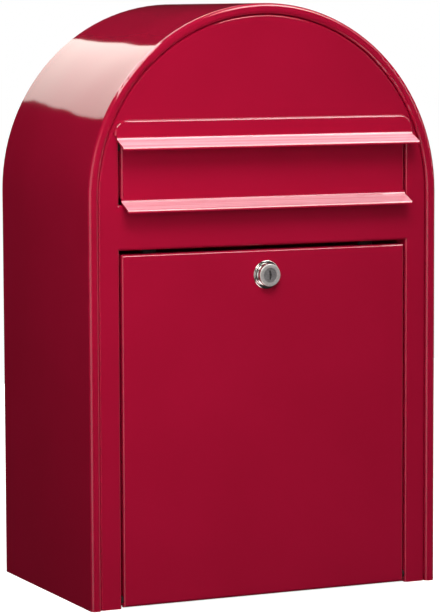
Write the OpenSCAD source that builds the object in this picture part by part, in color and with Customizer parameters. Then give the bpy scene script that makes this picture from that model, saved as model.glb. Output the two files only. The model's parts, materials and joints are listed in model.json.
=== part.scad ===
// Arched wall letter box, folded from painted steel sheet.
// A hooded mail flap sits above a drop-down collection door that a cam lock holds shut.
// Millimetres: +Z is up, the front looks towards -Y, and the origin is the middle of the base.

/* [Body] */
// Width across the shell
body_w = 380; // [350:2:420]
// Height from the base to the top of the arch
body_h = 590; // [550:2:660]
// Depth from the back to the face of the front rim
body_d = 236; // [190:2:300]
// Thickness of the steel sheet
sheet = 1.5; // [1.2:0.1:2]
// Gap left between welded sheets
seam = 0.2; // [0.1:0.05:0.3]
// Depth of the folded edge round the back panel
back_flange = 12; // [8:0.5:16]
// Outer radius of that fold
back_bend = 2.5; // [2:0.25:4]

/* [Front rim] */
// Width of the rim that frames the front panel
rim_w = 10.5; // [9:0.5:14]
// Outer radius where the wall turns into the rim
rim_bend = 4.5; // [3:0.5:5]
// Outer radius where the rim turns back into the box
rim_edge = 4; // [2.5:0.5:4.5]
// How far the rim's turned-back edge reaches in
rim_return = 9; // [7:0.5:14]
// How far the front panel lies behind the rim
panel_recess = 3; // [2:0.5:4.5]

/* [Front panel] */
// Outer radius of the fold round the front panel
panel_bend = 3; // [2:0.25:3.5]
// Depth of the folded edge round the front panel
panel_return = 12; // [8:0.5:12.5]
// Width of the panel left beside the door
stile_w = 22.5; // [16:0.5:30]
// Height of the panel left between door and slot
rail_h = 44.5; // [40:0.5:60]
// Outer radius of the folds along the door, the flap and their openings
fold = 3; // [2:0.25:3.25]
// Running gap beside the door and the flap
gap = 2; // [1.5:0.25:4]
// Gap over the door
head_gap = 4; // [2:0.25:5.5]

/* [Collection door] */
// Clearance under the door
door_clear = 1; // [1:0.25:3]
// Depth of the door's folded sides and top
door_return = 15; // [13:0.5:18]
// Depth of the folded edge of the door opening
jamb_depth = 20; // [19:0.5:26]
// Hinge line behind the door's face
hinge_set = 5.5; // [5.25:0.25:6]
// Hinge line above the door's lower edge
hinge_rise = 7.5; // [7.5:0.25:9]
// Diameter of the door's hinge pins
door_pin_d = 4; // [3:0.5:4.5]

/* [Mail slot] */
// Height of the slot opening
slot_h = 66; // [60:1:80]
// How far the slot's lower edge lies below the start of the arch
slot_drop = 4; // [0:1:20]
// Depth of the folded edge of the slot opening
slot_jamb = 12; // [10:0.5:16]
// Diameter of the flap's hinge pins
flap_pin_d = 4; // [3:0.5:4]
// Hinge line of the flap behind its face
flap_set = 6; // [5:0.25:7]
// Hinge line of the flap below the top of the slot opening
flap_hang = 10; // [9.5:0.25:12]
// How far the flap reaches above its hinge line
flap_head = 5; // [5:0.25:5.5]
// Depth of the flap's folded sides
flap_return = 12; // [10:0.5:13]

/* [Lips and hood] */
// How far the lips of flap and hood stand out from their sheets
lip_reach = 17.5; // [14:0.5:22]
// Fall of the lips below level, in degrees
lip_slope = 24; // [16:1:30]
// Inner radius where a lip bends out of its sheet
lip_bend = 4.5; // [2:0.25:5]
// Outer radius where a lip's front edge rolls down
lip_roll = 4; // [3:0.25:5]
// How far the hood reaches past the slot at each side
hood_lap = 6; // [4:0.25:6]
// Height of the hood's flange
hood_flange = 15.5; // [14:0.5:20]
// Radius of the flange's lower corners
hood_foot = 2; // [1.5:0.25:3]
// How far the hood stands proud of the panel
hood_proud = 4; // [3.75:0.25:4.5]
// Outer radius of the hood's pressed edge
hood_edge = 3.5; // [2.5:0.25:3.5]

/* [Letter baffle] */
// Length of the slope that leads letters in
baffle_l = 70; // [50:2:90]
// Fall of that slope below level, in degrees
baffle_slope = 30; // [20:1:35]
// Depth of the stiffening edge at its lower end
baffle_edge = 10; // [6:1:14]
// Height of the flange on the back of the panel
baffle_flange = 22; // [16:1:24]
// How far the baffle's ends stay inside the opening
baffle_inset = 8; // [4:1:20]

/* [Lock] */
// Lock axis below the door's upper edge
lock_drop = 25; // [24:0.5:40]
// Diameter of the bezel where it meets the door
bezel_d = 28.5; // [27:0.5:32]
// Diameter of the lock's face
face_d = 22.5; // [22:0.5:25]
// How far the lock stands out of the door
lock_proud = 10; // [7:0.5:12]
// Diameter of the barrel behind the door
barrel_d = 19; // [18:0.5:20]
// Width across the barrel's flats
barrel_flats = 16; // [15.5:0.25:17]
// Diameter of the keyed plug
plug_d = 14.4; // [12:0.2:14.8]
// Height and width of the keyway
keyway = [9, 1.8];
// Thickness of the cam
cam_t = 2; // [1.5:0.25:3]
// Width of the cam
cam_w = 16; // [14:0.5:20]
// How far the cam reaches past the edge of the opening when it is up
cam_bite = 9.5; // [6:0.5:12]

/* [Fixings] */
// Wall hole spacing, across and up
wall_pitch = [200, 340];
// Diameter of the wall holes
wall_hole_d = 9; // [6:0.5:12]
// Height of the lower wall holes
wall_hole_z = 90; // [60:5:120]
// Stand hole spacing, across and front to back
stand_pitch = [160, 100];
// Diameter of the stand holes
stand_hole_d = 8.5; // [6:0.5:10]
// Diameter of the drain holes
drain_d = 6; // [4:0.5:8]
// Height of the floor tray's folded edges
tray_edge = 15; // [10:1:18]

/* [Hidden] */
$fn = 64;

eps = 0.01;
arc_steps = 8;              // straight steps in a bend that is drawn point by point
run_fit = 0.05;             // radial clearance of what turns
seat_gap = 0.3;             // clearance between a piece and the stop it rests on

paint = [0.64, 0.05, 0.17];
nickel = [0.78, 0.77, 0.74];
zinc = [0.72, 0.73, 0.75];
black_steel = [0.13, 0.13, 0.13];
nylon = [0.1, 0.1, 0.11];
rubber = [0.08, 0.08, 0.08];

// Shell, as an arch of this radius on two upright legs
arch_r = body_w / 2;
spring_z = body_h - arch_r;
front_y = -body_d / 2;
back_y = body_d / 2;
inner_r = arch_r - sheet - seam;         // what is welded inside the shell
rim_r = arch_r - rim_w;                  // inner edge of the rim

// Front panel and its two openings
panel_y = front_y + panel_recess;
open_w = 2 * (rim_r - stile_w);
slot_z0 = spring_z - slot_drop;
slot_z1 = slot_z0 + slot_h;
door_z1 = slot_z0 - rail_h;

// Door
leaf_w = open_w - 2 * gap;
leaf_z0 = door_clear;
leaf_z1 = door_z1 - head_gap;
hinge_y = panel_y + hinge_set;
hinge_z = leaf_z0 + hinge_rise;

// Flap, whose lip bends out around this height
flap_y = panel_y + flap_set;
flap_z = slot_z1 - flap_hang;
lip_z = slot_z0 + lip_bend + sheet;

// Hood, whose flange has round corners and whose lip bends out around its own height
hood_w = open_w + 2 * hood_lap;
hood_corner = hood_flange - hood_foot;
hood_rise = 0.75;                        // how far the bend starts above the slot opening
hood_z = slot_z1 + hood_rise;

// Hinge pins, bushes and clips, in the order they sit on each axis
pin_head_t = 1.5;
pin_head_r = 1.5;                        // how far a pin's head stands past its shank
bush_wall = 1;
bush_flange = 1;                         // how far a bush's flange stands past its sleeve
clip_t = 0.8;
clip_r = 1.25;                           // how far a clip stands past its pin
pin_tail = 1.7;                          // how far a pin stands past its clip

// Lock
lock_z = leaf_z1 - lock_drop;
cam_gap = 0.7;
cam_y = panel_y + jamb_depth + cam_gap;  // face of the cam that passes behind the opening's edge
barrel_l = jamb_depth + cam_gap - seat_gap;
cam_l = lock_drop + head_gap + sheet + cam_bite;
drive_w = 8;                             // square that turns the cam
nut_flats = 24;
nut_t = 4;
washer_t = 1;
plug_inset = 0.6;
screw_d = 5;

// Rubber buffers
buffer_w = 14;
buffer_h = 10;
flap_buffer_t = 6;
buffer_inset = 38;                       // from the side of the opening to the middle of a buffer
buffer_x = open_w / 2 - buffer_inset;

// Drain holes in the floor tray
drain_inset = 20;                        // from the side of the tray
drain_y = 80;

// Places a flat shape that is drawn in X and Z, from one depth to another
module along_y(y0, y1)
    translate([0, y1, 0]) rotate([90, 0, 0]) linear_extrude(y1 - y0) children();

// Runs a section that is drawn in Y and Z across the width, about the middle
module across(width)
    translate([-width / 2, 0, 0]) rotate([90, 0, 90]) linear_extrude(width) children();

// Copies a piece to the other side of the middle
module both_sides() {
    children();
    mirror([1, 0, 0]) children();
}

// Sector of a ring, from angle a0 to angle a1, which is how folded sheet turns
module turn(r_out, r_in, a0, a1) {
    far = 3 * r_out;
    mid = (a0 + a1) / 2;
    intersection() {
        difference() {
            circle(r_out);
            circle(r_in);
        }
        polygon([
            [0, 0],
            [far * cos(a0), far * sin(a0)],
            [far * cos(mid), far * sin(mid)],
            [far * cos(a1), far * sin(a1)]
        ]);
    }
}

// Outline of an arch that stands on two legs, in X and Z
module arch_face(r, z0) {
    translate([-r, z0]) square([2 * r, spring_z - z0]);
    translate([0, spring_z]) circle(r);
}

// Sweeps a section round the arch and down both legs to z0.
// The section is drawn with X away from the middle and Y towards the front.
module arch_sweep(z0) {
    translate([0, 0, spring_z]) rotate([90, 0, 0]) rotate_extrude(angle = 180) children();
    both_sides() translate([0, 0, z0]) linear_extrude(spring_z - z0) mirror([0, 1]) children();
}

// Rectangle whose two corners at Y 0 are rounded
module eased_front(length, depth, r) {
    translate([r, 0]) square([length - 2 * r, depth]);
    translate([0, r]) square([length, depth - r]);
    for (x = [r, length - r]) translate([x, r]) circle(r);
}

// Rectangle that flares out round two folded edges at Y 0
module flared_front(length, depth, r)
    difference() {
        union() {
            square([length, depth]);
            translate([-r, -1]) square([length + 2 * r, r + 1]);
        }
        for (x = [-r, length + r]) translate([x, r]) circle(r);
    }

// Crosses an upright and a level section, so that edges turn all corners alike
module crossed(width, z0, z1) {
    intersection() {
        across(width + 20) translate([0, z0]) mirror([1, -1]) children(0);
        translate([-width / 2, 0, z0 - 10]) linear_extrude(z1 - z0 + 20) children(1);
    }
}

// Block with eased front edges, front face at Y 0
module eased_block(width, z0, z1, depth, r)
    crossed(width, z0, z1) {
        eased_front(z1 - z0, depth, r);
        eased_front(width, depth, r);
    }

// Space of an opening whose edges are folded in, panel face at Y 0
module folded_opening(width, z0, z1, depth)
    crossed(width, z0, z1) {
        flared_front(z1 - z0, depth, fold);
        flared_front(width, depth, fold);
    }

// Folded sheet tray that opens to the back, front face at Y 0
module sheet_pan(width, z0, z1, depth)
    difference() {
        eased_block(width, z0, z1, depth, fold);
        translate([0, sheet, 0])
            eased_block(width - 2 * sheet, z0 + sheet, z1 - sheet, depth, fold - sheet + eps);
    }

// Points of an arc round a centre, from angle a0 to angle a1
function arc(centre, r, a0, a1) =
    [for (i = [0 : arc_steps]) let (a = a0 + (a1 - a0) * i / arc_steps) centre + r * [cos(a), sin(a)]];

// Section of a lip with a rolled front edge, drawn in Y and Z round the centre of its first bend
module lip_section() {
    length = (lip_reach - (lip_bend + lip_roll) * (1 - sin(lip_slope))) / cos(lip_slope);
    bend_end = lip_slope - 90;
    roll_start = 90 + lip_slope;
    roll = [
        lip_bend + lip_roll - lip_reach,
        -(lip_bend + lip_roll) * cos(lip_slope) - length * sin(lip_slope)
    ];
    under = concat(arc([0, 0], lip_bend + sheet, 0, bend_end), arc(roll, lip_roll - sheet, roll_start, 180));
    upper = concat(arc(roll, lip_roll, 180, roll_start), arc([0, 0], lip_bend, bend_end, 0));
    polygon(concat(under, upper));
}

// Section of the shell's sheet: wall, bend, rim and turned-back edge
module shell_section() {
    face = -front_y;
    translate([arch_r - sheet, -back_y]) square([sheet, face + back_y - rim_bend]);
    translate([arch_r - rim_bend, face - rim_bend]) turn(rim_bend, rim_bend - sheet, 0, 90);
    translate([rim_r + rim_edge, face - sheet]) square([rim_w - rim_edge - rim_bend, sheet]);
    translate([rim_r + rim_edge, face - rim_edge]) turn(rim_edge, rim_edge - sheet, 90, 180);
    translate([rim_r, face - rim_return]) square([sheet, rim_return - rim_edge]);
}

module shell() color(paint) arch_sweep(0) shell_section();

module back_panel() {
    color(paint) difference() {
        union() {
            along_y(back_y - sheet, back_y) arch_face(inner_r - back_bend, 0);
            arch_sweep(tray_edge + gap) {
                translate([inner_r - back_bend, -back_y + back_bend]) turn(back_bend, back_bend - sheet, -90, 0);
                translate([inner_r - sheet, -back_y + back_bend]) square([sheet, back_flange - back_bend]);
            }
            // flat ends beside the tray, below the folded edge
            along_y(back_y - sheet, back_y) translate([-inner_r, 0]) square([2 * inner_r, tray_edge + gap]);
        }
        wall_holes();
    }
}

module wall_holes()
    for (x = [-1, 1], z = [0, 1])
        translate([x * wall_pitch[0] / 2, back_y, wall_hole_z + z * wall_pitch[1]])
            rotate([90, 0, 0]) cylinder(d = wall_hole_d, h = 4 * sheet, center = true);

module floor_tray() {
    // the front edge stops the open door, whose lower fold swings back against it
    tray_y0 = hinge_y + hinge_rise + seat_gap;
    tray_y1 = back_y - sheet - seam;
    notch_x = leaf_w / 2 - sheet - gap / 2;
    color(paint) difference() {
        translate([0, tray_y0, 0]) difference() {
            tray_block(2 * inner_r, tray_y1 - tray_y0, tray_edge, fold);
            translate([0, sheet, sheet])
                tray_block(2 * (inner_r - sheet), tray_y1 - tray_y0 - 2 * sheet, tray_edge, fold - sheet + eps);
        }
        // notches for the folded edges of the door and its opening
        both_sides() translate([notch_x, tray_y0 - 1, -1]) cube([
            open_w / 2 + sheet + seam - notch_x,
            panel_y + jamb_depth + seam - tray_y0 + 1,
            tray_edge + 2
        ]);
        for (x = [-1, 1], y = [-1, 1]) {
            translate([x * stand_pitch[0] / 2, y * stand_pitch[1] / 2, 0])
                cylinder(d = stand_hole_d, h = 4 * sheet, center = true);
            translate([x * (inner_r - drain_inset), y * drain_y, 0])
                cylinder(d = drain_d, h = 4 * sheet, center = true);
        }
    }
}

// Block with eased lower edges, standing on Z 0 with its front at Y 0
module tray_block(width, depth, height, r)
    intersection() {
        across(width) eased_front(depth, height, r);
        translate([-width / 2, depth, 0]) rotate([90, 0, 0]) linear_extrude(depth)
            eased_front(width, height, r);
    }

module front_panel() {
    edge_r = rim_r - seam;
    color(paint) difference() {
        union() {
            along_y(panel_y, panel_y + sheet) arch_face(edge_r - panel_bend, 0);
            arch_sweep(0) {
                translate([edge_r - panel_bend, -panel_y - panel_bend]) turn(panel_bend, panel_bend - sheet, 0, 90);
                translate([edge_r - sheet, -panel_y - panel_return]) square([sheet, panel_return - panel_bend]);
            }
            translate([-open_w / 2 - sheet, panel_y, 0]) cube([open_w + 2 * sheet, jamb_depth, door_z1 + sheet]);
            translate([-open_w / 2 - sheet, panel_y, slot_z0 - sheet])
                cube([open_w + 2 * sheet, slot_jamb, slot_h + 2 * sheet]);
        }
        translate([0, panel_y, 0]) {
            folded_opening(open_w, -20, door_z1, jamb_depth + 1);
            folded_opening(open_w, slot_z0, slot_z1, slot_jamb + 1);
        }
        both_sides() {
            hinge_bore(hinge_y, hinge_z, door_pin_d);
            hinge_bore(flap_y, flap_z, flap_pin_d);
        }
    }
}

// Hole for a hinge pin through the folded edge of an opening
module hinge_bore(y, z, d)
    translate([open_w / 2 - 1, y, z]) rotate([0, 90, 0]) cylinder(d = d + eps, h = sheet + 2);

module slot_hood() {
    face_y = panel_y - hood_proud;
    lip_w = hood_w - 2 * hood_foot;
    color(paint) {
        translate([0, panel_y, hood_z]) difference() {
            hood_block(hood_w, hood_flange, hood_corner, hood_proud, hood_edge);
            translate([0, eps, -eps]) hood_block(
                hood_w - 2 * sheet, hood_flange - sheet + eps, hood_corner - sheet,
                hood_proud - sheet + eps, hood_edge - sheet
            );
            both_sides() along_y(-hood_proud - 1, 1) translate([hood_w / 2 - hood_foot, 0]) difference() {
                translate([0, -1]) square(hood_foot + 1);
                translate([0, hood_foot]) circle(hood_foot);
            }
        }
        translate([0, face_y - lip_bend, hood_z]) across(lip_w) lip_section();
    }
}

// Flange of the hood: a plate with round upper corners and a rounded edge, back at Y 0
module hood_block(width, height, corner, depth, edge) {
    across(width - 2 * corner) mirror([1, 0]) flange_section(height, depth, edge);
    both_sides() translate([width / 2 - corner, 0, 0]) {
        linear_extrude(height - corner) mirror([0, 1]) mirror([1, -1]) flange_section(corner, depth, edge);
        translate([0, 0, height - corner]) rotate([90, 0, 0]) rotate_extrude(angle = 90)
            mirror([1, -1]) flange_section(corner, depth, edge);
    }
}

// Section through the flange's edge, drawn with X out of the panel and Y away from the lip
module flange_section(r, depth, edge) {
    square([depth - edge, r]);
    square([depth, r - edge]);
    intersection() {
        square([depth, r]);
        translate([depth - edge, r - edge]) circle(edge);
    }
}

module letter_baffle() {
    bend_r = 2 * sheet;
    top_z = slot_z0 - sheet - 2 * seam - bend_r;
    foot = baffle_l * [cos(baffle_slope), -sin(baffle_slope)];
    upper = concat(
        [[-bend_r, -baffle_flange]],
        arc([0, 0], bend_r, 180, 90 - baffle_slope),
        arc(foot, bend_r, 90 - baffle_slope, 0),
        [foot + [bend_r, -baffle_edge]]
    );
    lower = concat(
        [foot + [bend_r - sheet, -baffle_edge]],
        arc(foot, bend_r - sheet, 0, 90 - baffle_slope),
        arc([0, 0], bend_r - sheet, 90 - baffle_slope, 180),
        [[sheet - bend_r, -baffle_flange]]
    );
    color(paint) translate([0, panel_y + sheet + bend_r, top_z])
        across(open_w - 2 * baffle_inset) polygon(concat(upper, lower));
}

// Places a piece that is drawn along +Z from 0 on a hinge axis, with 0 at the leaf's side face
module on_hinge(y, z, side) {
    mirror([side < 0 ? 1 : 0, 0, 0]) translate([leaf_w / 2, y, z]) rotate([0, 90, 0]) children();
}

// Pin with its head behind the folded edge of the opening
module hinge_pin(d) {
    inner = -sheet - seat_gap - clip_t - pin_tail;
    head = gap + sheet;
    color(black_steel) {
        translate([0, 0, inner]) cylinder(d = d, h = head - inner);
        translate([0, 0, head]) cylinder(d = d + 2 * pin_head_r, h = pin_head_t);
    }
}

// Flanged bush in the leaf's folded side, filling the gap to the opening
module hinge_bush(d)
    color(nylon) difference() {
        union() {
            translate([0, 0, -sheet]) cylinder(d = d + 2 * bush_wall, h = sheet + eps);
            cylinder(d = d + 2 * (bush_wall + bush_flange), h = gap - seat_gap);
        }
        translate([0, 0, -sheet - 1]) cylinder(d = d + 2 * run_fit, h = sheet + gap + 2);
    }

// Push-on clip that keeps the leaf on its pin
module hinge_clip(d)
    color(black_steel) translate([0, 0, -sheet - seat_gap - clip_t]) difference() {
        cylinder(d = d + 2 * clip_r, h = clip_t);
        translate([0, 0, -1]) cylinder(d = d + eps, h = clip_t + 2);
    }

// Hole in a leaf's folded side that takes a bush
module bush_bore(d)
    translate([0, 0, -sheet - 1]) cylinder(d = d + 2 * bush_wall + eps, h = sheet + 2);

module door() {
    heel_r = hinge_rise + 2;
    color(paint) difference() {
        translate([0, panel_y, 0]) sheet_pan(leaf_w, leaf_z0, leaf_z1, door_return);
        // the lower fold stops under the hinge line, and the sides are cut clear behind it
        translate([-leaf_w / 2 - 1, hinge_y, leaf_z0 - 1]) cube([leaf_w + 2, door_return, sheet + fold]);
        for (side = [-1, 1]) on_hinge(hinge_y, hinge_z, side) bush_bore(door_pin_d);
        both_sides() translate([leaf_w / 2 - sheet - 1, hinge_y, leaf_z0 - 1]) difference() {
            cube([sheet + 2, door_return, hinge_rise + 1]);
            translate([-1, 0, hinge_rise + 1]) rotate([0, 90, 0]) cylinder(r = heel_r, h = sheet + 4);
        }
        translate([0, panel_y, lock_z]) rotate([90, 0, 0]) barrel(run_fit, 10);
    }
}

// Barrel of the lock with its two flats, grown by a clearance, centred on its length
module barrel(grow, length)
    intersection() {
        cylinder(d = barrel_d + 2 * grow, h = length, center = true);
        cube([barrel_flats + 2 * grow, barrel_d + 2, length + 2], center = true);
    }

// Places a piece that is drawn along +Z out of the door's face on the lock's axis
module on_lock() translate([0, panel_y, lock_z]) rotate([90, 0, 0]) children();

module lock_housing() {
    lip = 1;
    color(nickel) on_lock() difference() {
        union() {
            rotate_extrude() {
                square([bezel_d / 2, lip]);
                square([bezel_d / 2 - lip, 2 * lip]);
                translate([bezel_d / 2 - lip, lip]) circle(lip);
                translate([0, lip]) bezel_neck(face_d / 2, lock_proud - lip);
            }
            translate([0, 0, -barrel_l / 2]) barrel(0, barrel_l);
        }
        translate([0, 0, -barrel_l - 1]) cylinder(d = plug_d + 2 * run_fit, h = barrel_l + lock_proud + 2);
    }
}

// Upper part of the bezel's profile: a waisted neck below a rounded face
module bezel_neck(r, h) {
    brim = 1.2;
    waist = 1;
    waist_r = 3.4;
    difference() {
        union() {
            square([r, h - brim]);
            square([r - brim, h]);
            translate([r - brim, h - brim]) circle(brim);
        }
        translate([r + waist_r - waist, h / 2]) circle(waist_r);
    }
}

module lock_plug() {
    ward = [3, 1.2];
    depth = 8;
    top = lock_proud - plug_inset;
    color(zinc) on_lock() difference() {
        union() {
            translate([0, 0, -barrel_l]) cylinder(d = plug_d, h = barrel_l + top);
            translate([0, 0, -barrel_l - seat_gap - cam_t]) linear_extrude(cam_t + seat_gap + 1)
                square(drive_w - 2 * run_fit, center = true);
        }
        translate([0, 0, top - depth / 2]) cube([keyway[1], keyway[0], depth + eps], center = true);
        translate([keyway[1] / 2, -ward[0] / 2, top - depth]) cube([ward[1], ward[0], depth + 1]);
        translate([0, 0, -barrel_l - seat_gap - cam_t - 1]) cylinder(d = screw_d + 2 * run_fit, h = 10);
    }
}

module lock_washer()
    color(zinc) on_lock() translate([0, 0, -sheet - washer_t]) difference() {
        cylinder(d = nut_flats + 2, h = washer_t);
        translate([0, 0, -1]) cylinder(d = barrel_d + 2 * run_fit, h = washer_t + 2);
    }

module lock_nut()
    color(zinc) on_lock() translate([0, 0, -sheet - washer_t - nut_t]) difference() {
        cylinder(d = nut_flats / cos(30), h = nut_t, $fn = 6);
        translate([0, 0, -1]) cylinder(d = barrel_d + 2 * run_fit, h = nut_t + 2);
    }

module lock_cam()
    color(zinc) translate([0, cam_y, lock_z]) rotate([-90, 0, 0]) linear_extrude(cam_t) difference() {
        union() {
            circle(d = cam_w + 2);
            translate([-cam_w / 2, 0]) square([cam_w, cam_l - cam_w / 2]);
            translate([0, cam_l - cam_w / 2]) circle(d = cam_w);
        }
        square(drive_w, center = true);
    }

module cam_screw() {
    head_t = 2.6;
    color(zinc) translate([0, cam_y + cam_t, lock_z]) rotate([-90, 0, 0]) {
        cylinder(d = screw_d + 7, h = 1);
        translate([0, 0, 1]) difference() {
            cylinder(d = 1.9 * screw_d, h = head_t);
            translate([0, 0, head_t / 2 + 1]) cube([1.2, 2 * screw_d, head_t], center = true);
        }
        translate([0, 0, -cam_t - 6]) cylinder(d = screw_d, h = cam_t + 6 + eps);
    }
}

module mail_flap()
    color(paint) {
        difference() {
            translate([0, panel_y, 0])
                sheet_pan(leaf_w, lip_z - 20, flap_z + flap_head, flap_return);
            translate([-leaf_w, panel_y - 1, lip_z - 30]) cube([2 * leaf_w, flap_return + 2, 30]);
            translate([-leaf_w, panel_y + sheet + fold, lip_z - 1]) cube([2 * leaf_w, flap_return, 5]);
            // the top fold stays inside the sweep that the opening leaves free
            translate([-leaf_w / 2 + sheet, flap_y, flap_z]) cube([leaf_w - 2 * sheet, flap_return, 20]);
            for (side = [-1, 1]) on_hinge(flap_y, flap_z, side) bush_bore(flap_pin_d);
        }
        translate([0, panel_y - lip_bend, lip_z]) across(leaf_w) lip_section();
    }

module flap_buffers()
    color(rubber) both_sides()
        translate([buffer_x - buffer_w / 2, panel_y + sheet + seat_gap, slot_z0])
            cube([buffer_w, flap_buffer_t, buffer_h]);

module door_buffers()
    color(rubber) both_sides()
        translate([buffer_x - buffer_w / 2, panel_y + door_return + seat_gap, door_z1 - buffer_h])
            cube([buffer_w, jamb_depth - door_return - 2 * seat_gap, buffer_h]);

shell();
back_panel();
floor_tray();
front_panel();
slot_hood();
letter_baffle();
on_hinge(hinge_y, hinge_z, -1) hinge_pin(door_pin_d);  // door_pin_left
on_hinge(hinge_y, hinge_z, 1) hinge_pin(door_pin_d);  // door_pin_right
on_hinge(hinge_y, hinge_z, -1) hinge_clip(door_pin_d);  // door_clip_left
on_hinge(hinge_y, hinge_z, 1) hinge_clip(door_pin_d);  // door_clip_right
on_hinge(flap_y, flap_z, -1) hinge_pin(flap_pin_d);  // flap_pin_left
on_hinge(flap_y, flap_z, 1) hinge_pin(flap_pin_d);  // flap_pin_right
on_hinge(flap_y, flap_z, -1) hinge_clip(flap_pin_d);  // flap_clip_left
on_hinge(flap_y, flap_z, 1) hinge_clip(flap_pin_d);  // flap_clip_right
flap_buffers();
door_buffers();
door();
on_hinge(hinge_y, hinge_z, -1) hinge_bush(door_pin_d);  // door_bush_left
on_hinge(hinge_y, hinge_z, 1) hinge_bush(door_pin_d);  // door_bush_right
lock_housing();
lock_washer();
lock_nut();
lock_plug();
lock_cam();
cam_screw();
mail_flap();
on_hinge(flap_y, flap_z, -1) hinge_bush(flap_pin_d);  // flap_bush_left
on_hinge(flap_y, flap_z, 1) hinge_bush(flap_pin_d);  // flap_bush_right
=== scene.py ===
import json
import math

import bpy
from mathutils import Matrix, Vector


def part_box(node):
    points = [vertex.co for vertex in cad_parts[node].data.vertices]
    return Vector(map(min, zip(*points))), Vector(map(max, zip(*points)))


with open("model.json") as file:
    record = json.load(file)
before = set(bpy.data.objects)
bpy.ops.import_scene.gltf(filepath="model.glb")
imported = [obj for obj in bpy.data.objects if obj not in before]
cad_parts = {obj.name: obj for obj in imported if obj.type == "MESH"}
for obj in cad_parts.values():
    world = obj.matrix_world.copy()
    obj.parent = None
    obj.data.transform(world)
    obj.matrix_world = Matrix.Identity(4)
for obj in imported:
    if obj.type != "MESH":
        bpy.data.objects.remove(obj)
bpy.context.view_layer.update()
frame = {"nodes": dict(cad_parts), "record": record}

# Photograph's frame and the camera that saw it. It was fitted to a box 382 mm wide.
IMAGE_H = 616
FOCAL_PX = 2915.6
SENSOR_MM = 36.0
AZIMUTH = -24.776
PITCH_DOWN = 5.676
ROLL = -0.214
FIT_SCALE = 380 / 382
CAMERA_DISTANCE = 2.8814 * FIT_SCALE
AIM = Vector((-0.052155, 0.0, 0.29329)) * FIT_SCALE

# Colours of the paint, in linear red, green and blue: the crimson, and the pale pink of a painted highlight
# on the tops of the lips
CRIMSON_LOW, CRIMSON_HIGH = (0.385, 0.0042, 0.03), (0.415, 0.0048, 0.034)
LIP_HIGHLIGHT_LOW, LIP_HIGHLIGHT_HIGH = (0.86, 0.24, 0.31), (0.95, 0.4, 0.46)

# Painted highlight on the tops of the lips: the heights it lies between, and the depth it lies before, in
# metres
HOOD_LIP_HIGHLIGHT = (0.43, 0.4622, -0.1195)
FLAP_LIP_HIGHLIGHT = (0.38, 0.4015, -0.1155)
# How far up a surface has to face to be a top, and how fast the painted highlight turns it pale from there
LIP_LEVEL, LIP_RISE = 0.45, 6.0
# How deep the brushed face of the lock reaches behind its foremost point
FACE_DEPTH = 0.0007
# How a metal's grain is stretched: into streaks from front to back, or not at all
STREAKED, EVEN = (1, 0.15, 1), (1, 1, 1)

# Stage: half the width of the floor, and the shares of it where it begins and ends to brighten
FLOOR_HALF = 1.6
FLOOR_FADE = (0.35, 0.8)
ROOM_LIGHT = 0.156
ROOM_GLOSS = 0.01

# Studio: soft lamps that light the colours, and bright panels that only the gloss mirrors.
# Each has its place, its width and height, its power and its colour. A panel also has its
# turn about its own axis, how its brightness fades, and the edges where it is masked.
OBJECT_MIDDLE = Vector((0, 0, 0.35))
WHITE, WARM, SOFT, ROSE = (1, 1, 1), (1, 0.97, 0.95), (1, 0.97, 0.96), (1, 0.88, 0.88)
LAMPS = {
    "near": ((-0.42, -0.85, 0.5), (0.4, 0.4), 2.9, WHITE),
    "key": ((-0.42, -1.3, 1.6), (0.9, 0.8), 19.6, WHITE),
    "side_mid": ((-0.6, -0.2, 0.6), (0.3, 0.3), 0.46, WHITE),
    "side_back": ((-0.8, 0.1, 0.7), (0.4, 0.4), 0.42, WHITE),
    "top": ((0.45, 0.1, 1.55), (0.8, 0.6), 13.6, WHITE),
    "right": ((1.5, 0.0, 0.6), (0.8, 0.8), 9, WHITE),
    "back": ((0.2, 1.6, 0.6), (0.8, 0.8), 9, WHITE),
}
# How bright a panel is at its two sides
SIDE_FADE = (0.645, 0.415)
# A panel's own coordinates run from 0 to 1 both ways
PANEL_MIDDLE = (0.5, 0.5, 0)
# Two slanted edges. Each is a direction over the panel, and how far along it the panel begins.
REAR_LEFT_EDGES = (((1, 0.358), 0.232), ((-1, 1.008), -0.209))
# A round panel is fully bright as far as the first share of its size, and dark from the second
ROUND = (0.15, 0.5)
MIRRORED = {
    "rear_left": (
        (-0.326, 2.5, 1.393), (1.2, 1.0), 18.6, (1, 1, 0.91), -40.5, SIDE_FADE, REAR_LEFT_EDGES,
    ),
    "top_rear": ((-0.65, 1.2, 2.45), (3.1, 1.5), 55, WARM),
    "high_left": ((-1.25, 0.05, 2.2), (3.4, 1.2), 140, WARM),
    "top_front": ((0.95, -1.0, 2.2), (1.5, 1.1), 60, SOFT),
    "top_right": ((2.0, -0.9, 1.6), (1.2, 1.4), 11, SOFT),
    "right_edges": ((2.4, -0.3, 0), (1.4, 2.2), 9.5, SOFT, 0, ROUND),
    "front": ((1.2, -2.4, 0.2), (1.6, 1.6), 0.24, (0.8, 0.9, 1)),
    "low_left": ((-0.57, -0.46, -1.03), (1.7, 1.7), 42, ROSE, 0, ROUND),
    "left_edges": ((-1.8, -0.95, 0.35), (2.6, 2.8), 36, WHITE, 0, ROUND),
}

# Camera


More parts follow.
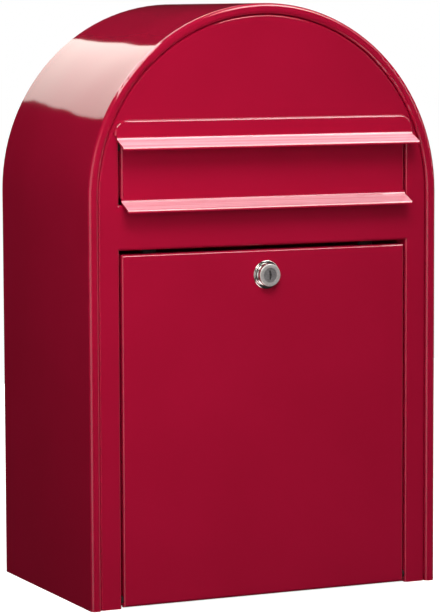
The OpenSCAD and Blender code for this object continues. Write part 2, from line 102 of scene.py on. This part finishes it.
def make_camera():
    """Camera that looks at a point on the plane of the front rim, as the photograph's did."""
    a, e = math.radians(AZIMUTH), math.radians(PITCH_DOWN)
    forward = Vector((-math.sin(a) * math.cos(e), math.cos(a) * math.cos(e), -math.sin(e)))
    rim_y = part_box("shell")[0].y
    place = AIM + Vector((0, rim_y, 0)) - forward * CAMERA_DISTANCE
    turn = forward.to_track_quat("-Z", "Y").to_matrix() @ Matrix.Rotation(math.radians(ROLL), 3, "Z")
    data = bpy.data.cameras.new("camera")
    camera = bpy.data.objects.new("camera", data)
    bpy.context.scene.collection.objects.link(camera)
    data.sensor_width = SENSOR_MM
    data.lens = SENSOR_MM * FOCAL_PX / IMAGE_H
    camera.matrix_world = Matrix.Translation(place) @ turn.to_4x4()
    bpy.context.scene.camera = camera


# Nodes and materials


def add_node(tree, kind, **values):
    """Adds a shader node. A value's name is an input's name, or else a setting's."""
    node = tree.nodes.new("ShaderNode" + kind)
    for name, value in values.items():
        socket = node.inputs.get(name.replace("_", " "))
        if socket:
            socket.default_value = value
        else:
            setattr(node, name, value)
    return node


class Look:
    """A node material with short names for the nodes it is made from."""

    def __init__(self, name, **sockets):
        self.material = bpy.data.materials.new(name)
        self.material.use_nodes = True
        self.tree = self.material.node_tree
        self.shader = self.tree.nodes["Principled BSDF"]
        for socket, value in sockets.items():
            self.shader.inputs[socket.replace("_", " ")].default_value = value

    def node(self, kind, **values):
        return add_node(self.tree, kind, **values)

    def link(self, source, target):
        self.tree.links.new(source, target)

    def place(self, stretch=EVEN):
        """Object coordinates in metres, stretched for streaks."""
        mapping = self.node("Mapping", Scale=stretch)
        self.link(self.node("TexCoord").outputs["Object"], mapping.inputs["Vector"])
        return mapping.outputs["Vector"]

    def axis(self, vector, name):
        """One of a vector's three numbers."""
        apart = self.node("SeparateXYZ")
        self.link(vector, apart.inputs[0])
        return apart.outputs[name]

    def noise(self, scale, detail=2.0, stretch=EVEN):
        noise = self.node("TexNoise", Scale=scale, Detail=detail)
        self.link(self.place(stretch), noise.inputs["Vector"])
        return noise.outputs["Fac"]

    def ramp(self, fac, low, high, start=0.3, end=0.7):
        ramp = self.node("ValToRGB")
        for element, at, colour in zip(ramp.color_ramp.elements, (start, end), (low, high)):
            element.position = at
            element.color = (*colour, 1)
        self.link(fac, ramp.inputs["Fac"])
        return ramp.outputs["Color"]

    def math(self, operation, *values):
        node = self.node("Math", operation=operation)
        node.use_clamp = True
        for socket, value in zip(node.inputs, values):
            if isinstance(value, (int, float)):
                socket.default_value = value
            else:
                self.link(value, socket)
        return node.outputs[0]

    def spread(self, fac, low, high):
        """Turns 0 to 1 into a range for a socket."""
        node = self.node("MapRange", To_Min=low, To_Max=high)
        self.link(fac, node.inputs["Value"])
        return node.outputs["Result"]

    def colour(self, output):
        self.link(output, self.shader.inputs["Base Color"])

    def bumps(self, *heights):
        """Adds bumps, each given as a height output, a strength and a depth in metres."""
        normal = None
        for height, strength, depth in heights:
            bump = self.node("Bump", Strength=strength, Distance=depth)
            self.link(height, bump.inputs["Height"])
            if normal:
                self.link(normal, bump.inputs["Normal"])
            normal = bump.outputs["Normal"]
        self.link(normal, self.shader.inputs["Normal"])
        return normal


def paint(name, lip=None):
    """Glossy crimson powder coat with a faint orange peel, on sheet that isn't quite flat.

    The upward faces on top of a lip carry a painted highlight, pale in streaks that run along it.
    """
    look = Look(name, Roughness=0.5, Specular_IOR_Level=0.0, Coat_Weight=1.0, Coat_Roughness=0.06)
    colour = look.ramp(look.noise(9, 3), CRIMSON_LOW, CRIMSON_HIGH)
    if lip:
        # Painted highlight: upward faces of the lip, between its heights and before its depth, are mixed
        # towards pale pink
        low, high, front = lip
        height, depth = look.axis(look.place(), "Z"), look.axis(look.place(), "Y")
        upward = look.axis(look.node("TexCoord").outputs["Normal"], "Z")
        under, over = look.math("LESS_THAN", height, high), look.math("GREATER_THAN", height, low)
        highlight_mask = look.math("MULTIPLY", look.math("MULTIPLY", under, over), look.math("LESS_THAN", depth, front))
        top = look.math("MULTIPLY", look.math("SUBTRACT", upward, LIP_LEVEL), LIP_RISE)
        pale = look.ramp(look.noise(1.0, 4, (4, 420, 420)), LIP_HIGHLIGHT_LOW, LIP_HIGHLIGHT_HIGH, 0.35, 0.62)
        mix = look.node("Mix", data_type="RGBA")
        look.link(look.math("MULTIPLY", highlight_mask, top), mix.inputs["Factor"])
        look.link(colour, mix.inputs["A"])
        look.link(pale, mix.inputs["B"])
        colour = mix.outputs["Result"]
    look.colour(colour)
    waves = (look.noise(14, 0), 1.0, 0.0008)
    normal = look.bumps(waves, (look.noise(38, 1), 0.04, 0.001), (look.noise(420), 0.02, 0.0005))
    look.link(normal, look.shader.inputs["Coat Normal"])
    return look.material


def metal(name, metallic, low, high, rough, streaks, scale, grain):
    """Metal whose tone and roughness vary along fine streaks."""
    look = Look(name, Metallic=metallic)
    streak = look.noise(scale, 5, streaks)
    look.colour(look.ramp(streak, low, high))
    look.link(look.spread(look.noise(scale * 0.6, 4, streaks), *rough), look.shader.inputs["Roughness"])
    look.bumps((streak, grain, 0.0002), (look.noise(60, 2), 0.05, 0.0005))
    return look.material


def turned(name, face):
    """Plated brass: bright where it was turned, and brushed where it lies before the depth face."""
    look = Look(name)
    streak = look.noise(700, 5, STREAKED)
    look.colour(look.ramp(streak, (0.52, 0.48, 0.47), (0.7, 0.66, 0.64)))
    brushed = look.math("LESS_THAN", look.axis(look.place(), "Y"), face)
    look.link(look.spread(brushed, 1.0, 0.45), look.shader.inputs["Metallic"])
    grain = look.math("MULTIPLY_ADD", streak, 0.1, 0.12)
    look.link(look.math("MULTIPLY_ADD", brushed, 0.2, grain), look.shader.inputs["Roughness"])
    look.bumps((streak, 0.05, 0.0002), (look.noise(60, 2), 0.05, 0.0005))
    return look.material


def moulded(name, low, high, rough, pits):
    """Moulded nylon or rubber with fine pits and a cloudy tone."""
    look = Look(name, Specular_IOR_Level=0.3)
    look.colour(look.ramp(look.noise(70, 4), low, high))
    look.link(look.spread(look.noise(110, 3), *rough), look.shader.inputs["Roughness"])
    look.bumps((look.noise(900, 2), pits, 0.0002))
    return look.material


def dress():
    """Gives each CAD node the material of its slot, or its own."""
    looks = {
        "paint": paint("crimson_powder_coat"),
        "nickel": metal(
            "satin_nickel", 0.5, (0.52, 0.5, 0.48), (0.7, 0.68, 0.65), (0.2, 0.32), STREAKED, 700, 0.08,
        ),
        "zinc": metal(
            "zinc_plate", 0.8, (0.5, 0.51, 0.53), (0.66, 0.66, 0.66), (0.28, 0.45), EVEN, 260, 0.15,
        ),
        "black_steel": metal(
            "black_steel", 0.5, (0.012, 0.012, 0.013), (0.03, 0.03, 0.032), (0.4, 0.6), EVEN, 300, 0.1,
        ),
        "bush": moulded("black_nylon", (0.006, 0.005, 0.005), (0.012, 0.01, 0.01), (0.7, 0.85), 0.1),
        "buffer": moulded("black_rubber", (0.008, 0.008, 0.008), (0.02, 0.02, 0.019), (0.75, 0.95), 0.25),
    }
    special = {
        # The hood and the flap get the paint with a painted highlight on the tops of their lips
        "slot_hood": paint("crimson_hood_lip_highlight", HOOD_LIP_HIGHLIGHT),
        "mail_flap": paint("crimson_flap_lip_highlight", FLAP_LIP_HIGHLIGHT),
        "lock_housing": turned("turned_nickel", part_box("lock_housing")[0].y + FACE_DEPTH),
        "lock_plug": metal(
            "worn_nickel", 0.6, (0.26, 0.24, 0.24), (0.46, 0.43, 0.43), (0.25, 0.4), STREAKED, 600, 0.1,
        ),
    }
    for part in frame["record"]["subparts"]:
        materials = frame["nodes"][part["node"]].data.materials
        materials.clear()
        materials.append(special.get(part["node"]) or looks[part["material_slot"]])


# Stage


def make_floor():
    """Pale floor that shows white to the camera and keeps the object's shadow."""
    mesh = bpy.data.meshes.new("floor")
    corners = [(x * FLOOR_HALF, y * FLOOR_HALF, 0) for x, y in ((-1, -1), (1, -1), (1, 1), (-1, 1))]
    mesh.from_pydata(corners, [], [(0, 1, 2, 3)])
    floor = bpy.data.objects.new("floor", mesh)
    bpy.context.scene.collection.objects.link(floor)
    look = Look("floor", Specular_IOR_Level=0.0, Roughness=0.9)
    look.colour(look.ramp(look.noise(6, 3), (0.58, 0.58, 0.58), (0.62, 0.62, 0.62)))
    away = look.node("VectorMath", operation="LENGTH")
    look.link(look.place(), away.inputs[0])
    share = look.math("DIVIDE", away.outputs["Value"], FLOOR_HALF)
    glow = look.ramp(share, (0.75, 0.75, 0.75), WHITE, *FLOOR_FADE)
    look.link(glow, look.shader.inputs["Emission Color"])
    look.link(look.node("LightPath").outputs["Is Camera Ray"], look.shader.inputs["Emission Strength"])
    floor.data.materials.append(look.material)
    floor.visible_glossy = False
    floor.visible_diffuse = False


def make_world():
    """Dim room whose far walls are white only to the camera."""
    world = bpy.data.worlds.new("world")
    bpy.context.scene.world = world
    world.use_nodes = True
    tree = world.node_tree
    path = add_node(tree, "LightPath")

    def shade(strength):
        return add_node(tree, "Background", Color=(*WHITE, 1), Strength=strength)

    def choose(ray, no, yes):
        mix = add_node(tree, "MixShader")
        tree.links.new(path.outputs[ray], mix.inputs["Fac"])
        tree.links.new(no.outputs[0], mix.inputs[1])
        tree.links.new(yes.outputs[0], mix.inputs[2])
        return mix

    room = choose("Is Glossy Ray", shade(ROOM_LIGHT), shade(ROOM_GLOSS))
    room = choose("Is Camera Ray", room, shade(1.0))
    tree.links.new(room.outputs[0], tree.nodes["World Output"].inputs["Surface"])


def shape_lamp(tree, fade, edges):
    """Makes a panel's brightness fade over its face, and masks it beyond its edges."""
    over = add_node(tree, "NewGeometry").outputs["Parametric"]
    if fade == ROUND:
        apart = add_node(tree, "VectorMath", operation="DISTANCE")
        apart.inputs[1].default_value = PANEL_MIDDLE
        tree.links.new(over, apart.inputs[0])
        start, end = ROUND
        spread = add_node(tree, "MapRange", From_Min=start, From_Max=end, To_Min=1, To_Max=0)
        spread.interpolation_type = "SMOOTHSTEP"
        tree.links.new(apart.outputs["Value"], spread.inputs["Value"])
    else:
        first, last = fade
        across = add_node(tree, "SeparateXYZ")
        tree.links.new(over, across.inputs[0])
        spread = add_node(tree, "MapRange", To_Min=first, To_Max=last)
        tree.links.new(across.outputs["X"], spread.inputs["Value"])
    level = spread.outputs["Result"]
    for direction, start in edges:
        along = add_node(tree, "VectorMath", operation="DOT_PRODUCT")
        along.inputs[1].default_value = (*direction, 0)
        tree.links.new(over, along.inputs[0])
        inside = add_node(tree, "Math", operation="GREATER_THAN")
        inside.inputs[1].default_value = start
        tree.links.new(along.outputs["Value"], inside.inputs[0])
        masked = add_node(tree, "Math", operation="MULTIPLY")
        tree.links.new(level, masked.inputs[0])
        tree.links.new(inside.outputs[0], masked.inputs[1])
        level = masked.outputs[0]
    tree.links.new(level, tree.nodes["Emission"].inputs["Strength"])


def make_lamp(name, place, size, power, colour, roll=0, fade=None, edges=()):
    """Soft panel, turned to the object and then about its own axis by roll, in degrees."""
    lamp = bpy.data.lights.new(name, "AREA")
    lamp.shape = "RECTANGLE"
    lamp.size, lamp.size_y = size
    lamp.energy = power
    lamp.color = colour
    if fade:
        lamp.use_nodes = True
        shape_lamp(lamp.node_tree, fade, edges)
    holder = bpy.data.objects.new(name, lamp)
    bpy.context.scene.collection.objects.link(holder)
    holder.visible_camera = False
    aim = OBJECT_MIDDLE - Vector(place)
    turn = aim.to_track_quat("-Z", "Y").to_matrix() @ Matrix.Rotation(math.radians(roll), 3, "Z")
    holder.matrix_world = Matrix.Translation(place) @ turn.to_4x4()
    return holder


def make_studio():
    for name, numbers in LAMPS.items():
        make_lamp(name, *numbers).visible_glossy = False
    for name, numbers in MIRRORED.items():
        make_lamp(name, *numbers).visible_diffuse = False


make_camera()
dress()
make_floor()
make_world()
make_studio()
bpy.context.scene.view_settings.view_transform = "Standard"
